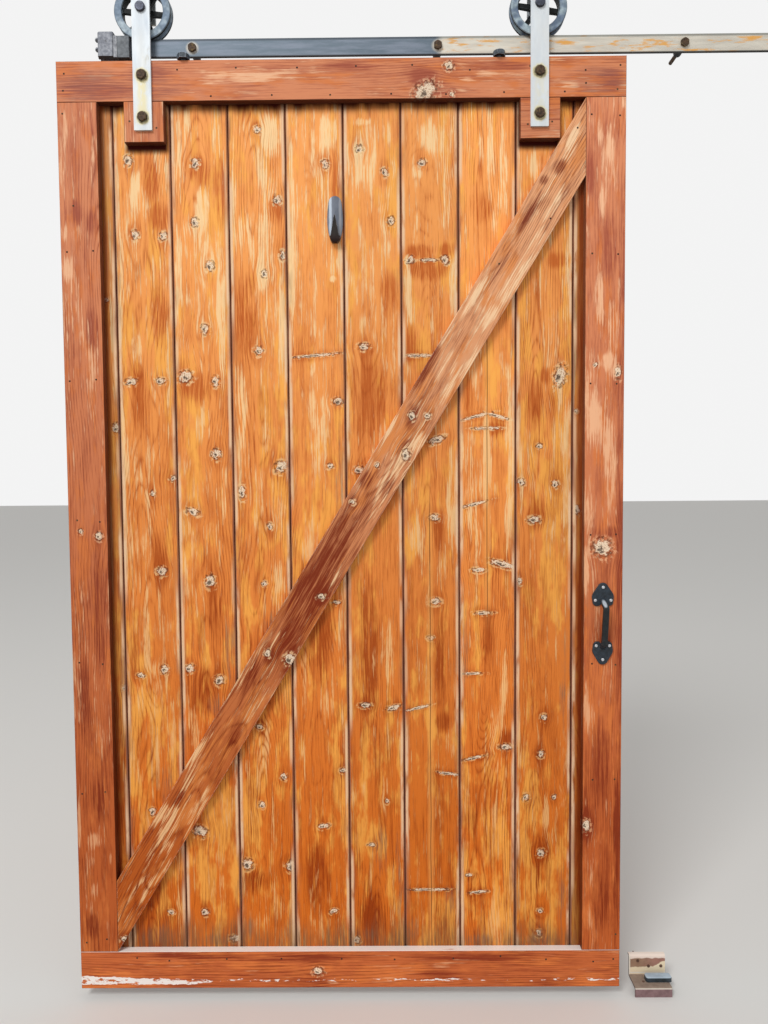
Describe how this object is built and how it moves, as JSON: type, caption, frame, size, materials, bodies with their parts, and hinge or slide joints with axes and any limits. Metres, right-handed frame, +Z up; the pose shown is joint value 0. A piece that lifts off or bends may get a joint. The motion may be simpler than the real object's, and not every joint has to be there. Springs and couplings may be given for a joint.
{
  "type": "sliding plank door with track",
  "caption": "Weathered plank barn door with a diagonal brace, hung on spoked wheels from a flat-bar wall rail, with strap hangers, end stops, pull handle and floor guide.",
  "frame": {"origin": "on the axis of the rail's first wall bolt, in the plane of the wall that the standoffs bear on", "axes": "+Z up, +X along the rail, the way the door slides from its rest place, +Y into the wall"},
  "size_m": [2.531, 0.1431, 2.353],
  "materials": {
    "plank_stain": "weathered satin stain",
    "frame_stain": "weathered satin stain",
    "brace_stain": "weathered, stain worn through",
    "strap_zinc": "dull zinc with rust stains",
    "worn_bolt": "rusted",
    "axle_steel": "dull",
    "wheel_iron": "worn blue-grey paint",
    "bush_bronze": "plain bush",
    "collar_steel": "dull zinc",
    "handle_iron": "black",
    "bright_screw": "worn bright",
    "hook_steel": "brushed",
    "rail_steel": "dull zinc with rust patches",
    "standoff_black": "black",
    "stop_casting": "matte grey",
    "stop_plate_steel": "dull",
    "bumper_rubber": "matte",
    "guide_paint": "stained and rubbed",
    "guide_plastic": "matte"
  },
  "bodies": {
    "track": {"track_rail": "rail_steel", "rail_standoffs": "standoff_black", "wall_bolts": "worn_bolt", "guide_bracket": "guide_paint", "guide_block": "guide_plastic", "guide_pin": "bright_screw", "guide_screws": "bright_screw", "stop_body_left": "stop_casting", "stop_plate_left": "stop_plate_steel", "stop_bumper_left": "bumper_rubber", "stop_bolts_left": "stop_casting", "stop_body_right": "stop_casting", "stop_plate_right": "stop_plate_steel", "stop_bumper_right": "bumper_rubber", "stop_bolts_right": "stop_casting"},
    "door": {"plank_01": "plank_stain", "plank_02": "plank_stain", "plank_03": "plank_stain", "plank_04": "plank_stain", "plank_05": "plank_stain", "plank_06": "plank_stain", "plank_07": "plank_stain", "plank_08": "plank_stain", "plank_09": "plank_stain", "plank_10": "plank_stain", "top_rail": "frame_stain", "bottom_rail": "frame_stain", "left_stile": "frame_stain", "right_stile": "frame_stain", "hanger_block_left": "frame_stain", "hanger_block_right": "frame_stain", "diagonal_brace": "brace_stain", "hanger_strap_left": "strap_zinc", "hanger_strap_right": "strap_zinc", "strap_bolts_left": "worn_bolt", "strap_bolts_right": "worn_bolt", "strap_washers_left": "worn_bolt", "strap_washers_right": "worn_bolt", "strap_nuts_left": "worn_bolt", "strap_nuts_right": "worn_bolt", "axle_bolt_left": "axle_steel", "axle_bolt_right": "axle_steel", "axle_nut_left": "axle_steel", "axle_nut_right": "axle_steel", "axle_spacers_left": "axle_steel", "axle_spacers_right": "axle_steel", "anti_jump_collar_left": "collar_steel", "anti_jump_collar_right": "collar_steel", "anti_jump_washer_left": "collar_steel", "anti_jump_washer_right": "collar_steel", "anti_jump_screw_left": "collar_steel", "anti_jump_screw_right": "collar_steel", "pull_handle": "handle_iron", "handle_screws": "bright_screw", "oval_hook": "hook_steel"},
    "wheel_left": {"wheel_left": "wheel_iron", "wheel_bush_left": "bush_bronze"},
    "wheel_right": {"wheel_right": "wheel_iron", "wheel_bush_right": "bush_bronze"}
  },
  "joints": [
    {"name": "door_slide", "type": "slide", "parent": "track", "child": "door", "axis": [1, 0, 0], "range_m": [0, 1.348]},
    {"name": "wheel_left_spin", "type": "hinge", "parent": "door", "child": "wheel_left", "pos_m": [-0.108, -0.041, 0.0775], "axis": [0, 1, 0], "continuous": true},
    {"name": "wheel_right_spin", "type": "hinge", "parent": "door", "child": "wheel_right", "pos_m": [0.775, -0.041, 0.0775], "axis": [0, 1, 0], "continuous": true}
  ],
  "couplings": [
    {"joint": "wheel_left_spin", "follows": "door_slide", "rad_per_m": 17.483},
    {"joint": "wheel_right_spin", "follows": "door_slide", "rad_per_m": 17.483}
  ]
}
